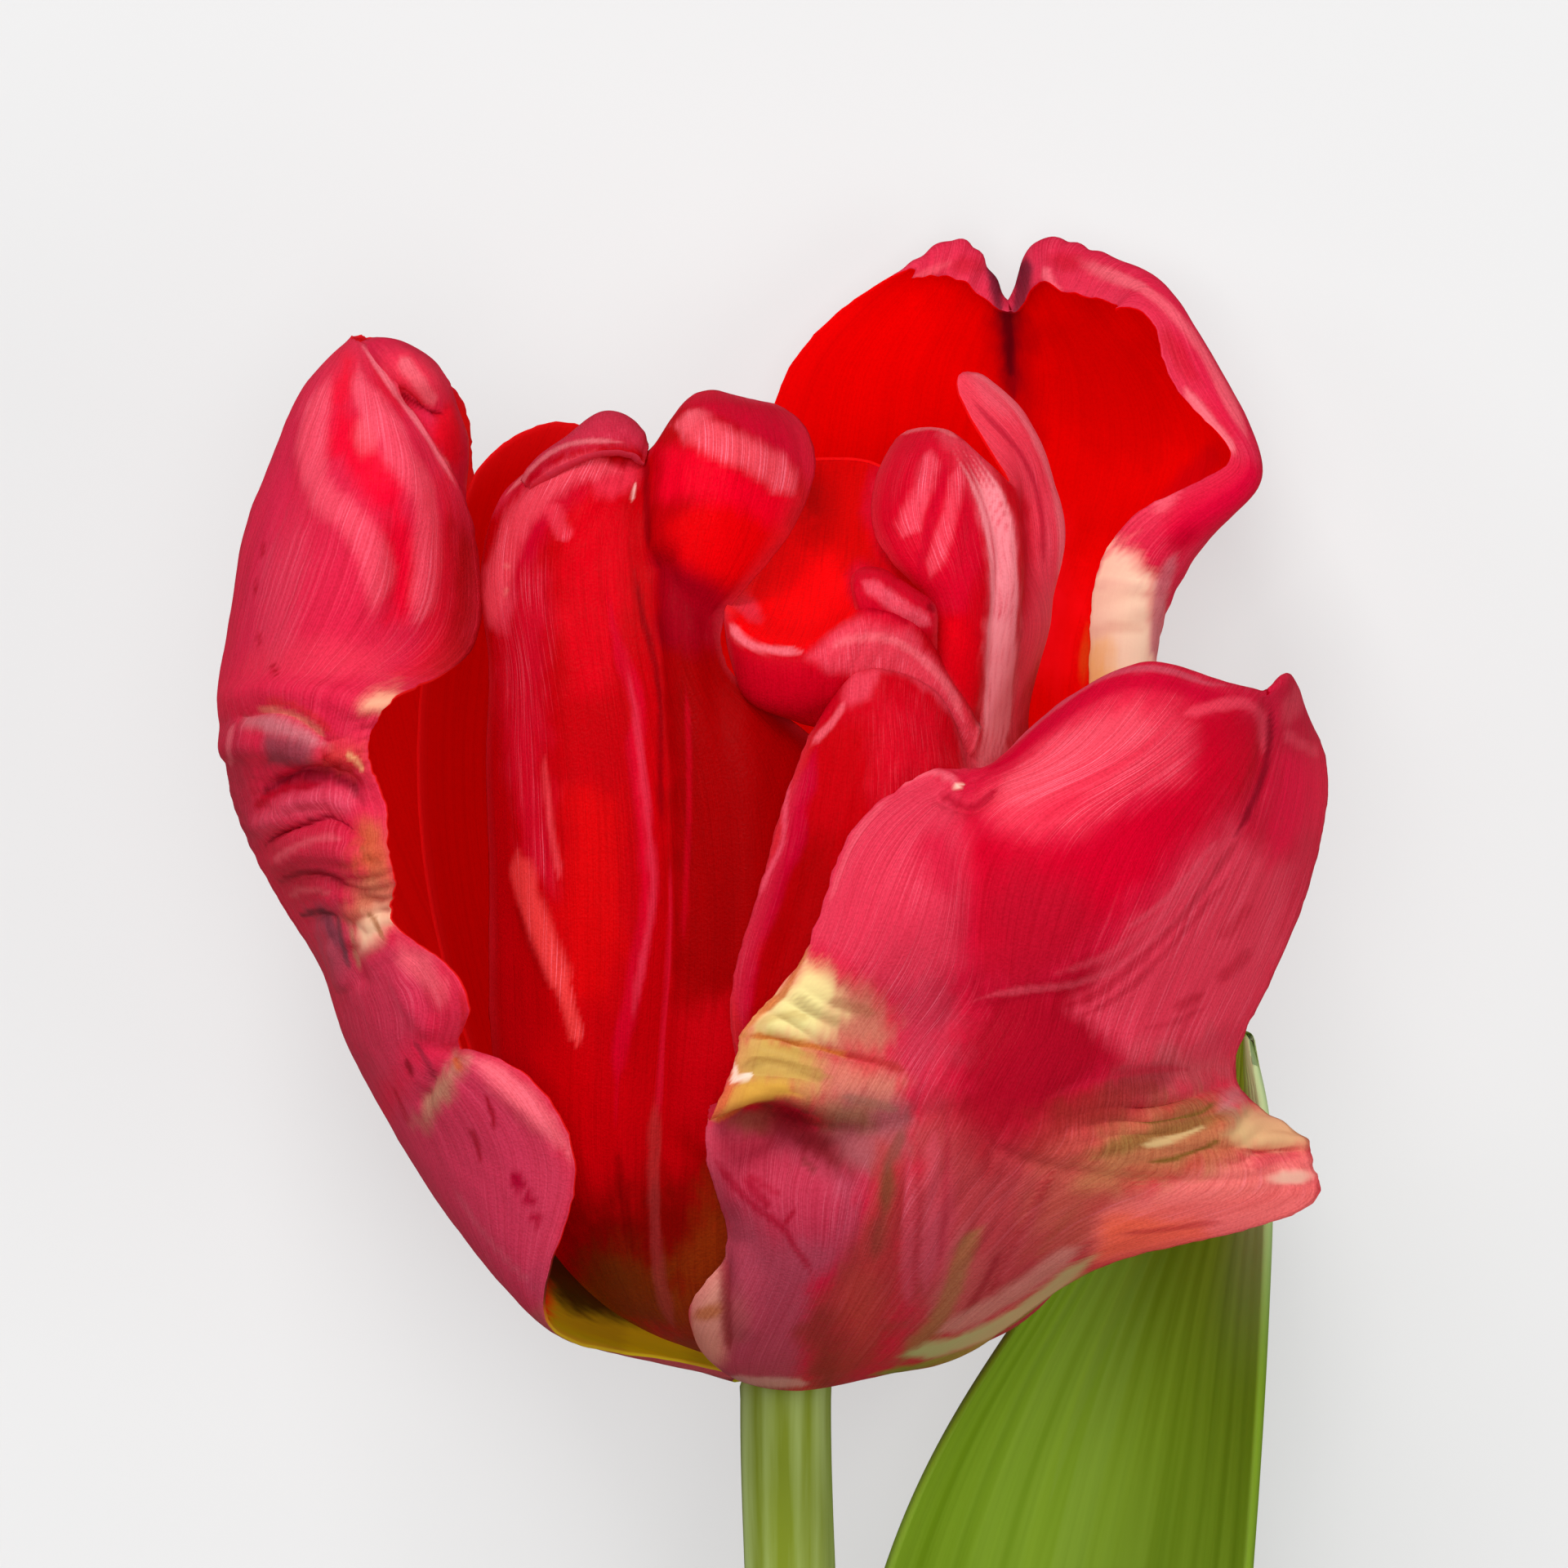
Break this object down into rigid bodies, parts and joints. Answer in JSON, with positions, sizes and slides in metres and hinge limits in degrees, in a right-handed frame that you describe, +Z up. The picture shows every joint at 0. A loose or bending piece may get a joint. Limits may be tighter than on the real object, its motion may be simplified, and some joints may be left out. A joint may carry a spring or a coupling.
{
  "type": "parrot tulip cut flower",
  "caption": "Cut parrot tulip lying on its side, with a cup of crinkled, lobed tepals round a pistil and stamens, on a bare stem with a long clasping leaf.",
  "frame": {"origin": "on the surface that the flower lies on, under the middle of its bounding box", "axes": "+X to the right of the bloom, towards the leaf's side, +Y along the stem towards the bloom, +Z up from the surface"},
  "size_m": [0.0906, 0.294, 0.0765],
  "materials": {
    "outer_tepal": "satin petal, rose-magenta outside and scarlet inside, flamed cream and green at the edges",
    "inner_tepal": "satin petal, crimson, with a yellow and dark olive base inside",
    "stem": "matt grey-green plant stem with a pale bloom",
    "leaf": "matt green leaf with fine parallel veins and a bluish bloom",
    "pistil": "pale green ovary with a cream stigma",
    "stamen": "dusty black-violet anther on a dark filament"
  },
  "bodies": {
    "root": {"stem": "stem", "leaf": "leaf", "outer_tepal_front": "outer_tepal", "outer_tepal_left": "outer_tepal", "outer_tepal_back": "outer_tepal", "inner_tepal_front": "inner_tepal", "inner_tepal_right": "inner_tepal", "inner_tepal_back": "inner_tepal", "pistil": "pistil", "stamen_1": "stamen", "stamen_2": "stamen", "stamen_3": "stamen", "stamen_4": "stamen", "stamen_5": "stamen", "stamen_6": "stamen"}
  },
  "joints": []
}
